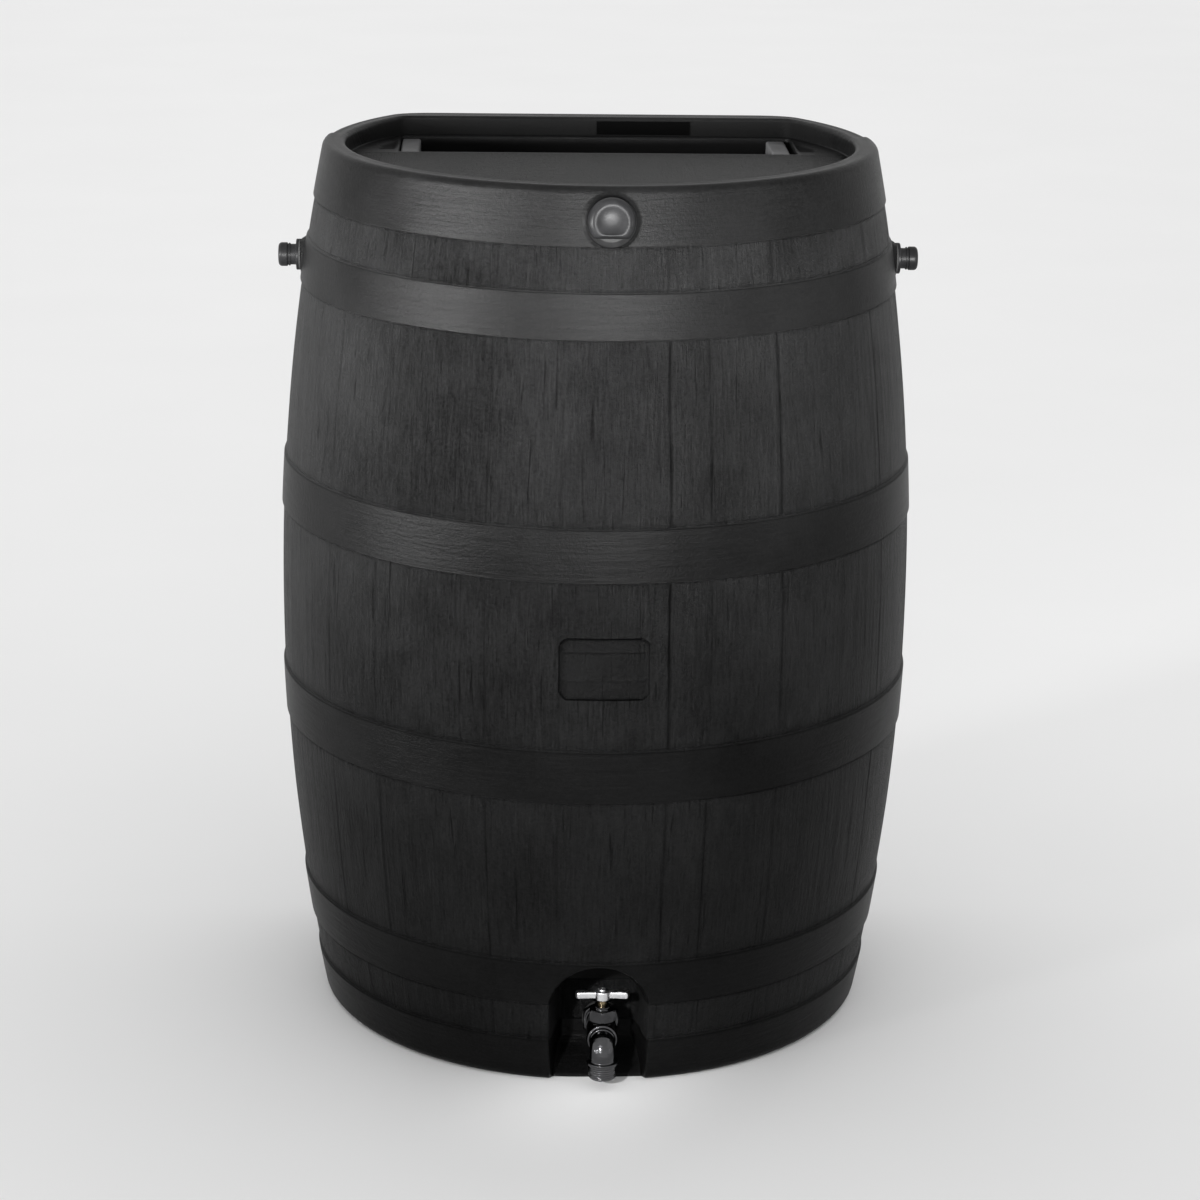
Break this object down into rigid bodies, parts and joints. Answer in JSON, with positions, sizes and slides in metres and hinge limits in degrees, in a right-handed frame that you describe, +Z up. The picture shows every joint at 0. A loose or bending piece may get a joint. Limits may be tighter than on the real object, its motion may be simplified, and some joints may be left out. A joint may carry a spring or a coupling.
{
  "type": "rain barrel",
  "caption": "Flat-backed moulded rain barrel with hoops, recessed deck, screened inlet slot, quarter-turn spigot in a niche, capped side nozzles and a front overflow plug.",
  "frame": {"origin": "on the floor, on the axis of the round front body; the flat back is 182 mm behind it", "axes": "+Z up, -Y towards the front with the spigot, +Y towards the flat back, +X to the right seen from the front"},
  "size_m": [0.6229, 0.4935, 0.866],
  "materials": {
    "barrel_plastic": "wood-grained satin",
    "label_film": "satin",
    "brass": "cast and machined",
    "plated_metal": "plated brass",
    "screw_steel": "zinc plated",
    "ball_chrome": "polished",
    "seat_ptfe": "smooth",
    "seal_rubber": "matte",
    "fitting_plastic": "gloss",
    "plug_plastic": "gloss",
    "screen_plastic": "satin",
    "screen_mesh": "black coated wire",
    "grip_plastic": "light grey, satin"
  },
  "bodies": {
    "barrel": {"barrel_shell": "barrel_plastic", "label_plate": "label_film", "spigot_body": "plated_metal", "outlet_ball_seat": "seat_ptfe", "inlet_ball_seat": "seat_ptfe", "ball_retainer": "brass", "stem_thrust_washer": "seat_ptfe", "stem_packing": "seat_ptfe", "packing_nut": "plated_metal", "spigot_outer_gasket": "seal_rubber", "spigot_inner_gasket": "seal_rubber", "spigot_lock_nut": "brass", "left_nozzle": "fitting_plastic", "left_nozzle_gasket": "seal_rubber", "left_nozzle_nut": "fitting_plastic", "right_nozzle": "fitting_plastic", "right_nozzle_gasket": "seal_rubber", "right_nozzle_nut": "fitting_plastic", "overflow_bushing": "fitting_plastic", "overflow_gasket": "seal_rubber", "overflow_nut": "fitting_plastic"},
    "valve_control": {"spigot_handle": "plated_metal", "handle_screw": "screw_steel", "spigot_stem": "brass", "spigot_ball": "ball_chrome"},
    "left_nozzle_cap": {"left_cap": "fitting_plastic", "left_cap_washer": "seal_rubber"},
    "right_nozzle_cap": {"right_cap": "fitting_plastic", "right_cap_washer": "seal_rubber"},
    "front_plug": {"overflow_plug": "plug_plastic", "plug_washer": "seal_rubber"},
    "debris_screen": {"screen_frame": "screen_plastic", "screen_grille": "screen_mesh", "left_grip": "grip_plastic", "right_grip": "grip_plastic"}
  },
  "joints": [
    {"name": "valve_turn", "type": "hinge", "parent": "barrel", "child": "valve_control", "pos_m": [0.004, -0.262, 0.046], "axis": [0, 0, 1], "range_deg": [0, 90]},
    {"name": "left_cap_off", "type": "slide", "parent": "barrel", "child": "left_nozzle_cap", "axis": [-1, 0, 0], "range_m": [0, 0.03]},
    {"name": "right_cap_off", "type": "slide", "parent": "barrel", "child": "right_nozzle_cap", "axis": [1, 0, 0], "range_m": [0, 0.03]},
    {"name": "plug_out", "type": "slide", "parent": "barrel", "child": "front_plug", "axis": [0, -0.9816, 0.1907], "range_m": [0, 0.04]},
    {"name": "screen_lift", "type": "slide", "parent": "barrel", "child": "debris_screen", "axis": [0, 0, 1], "range_m": [0, 0.12]}
  ]
}
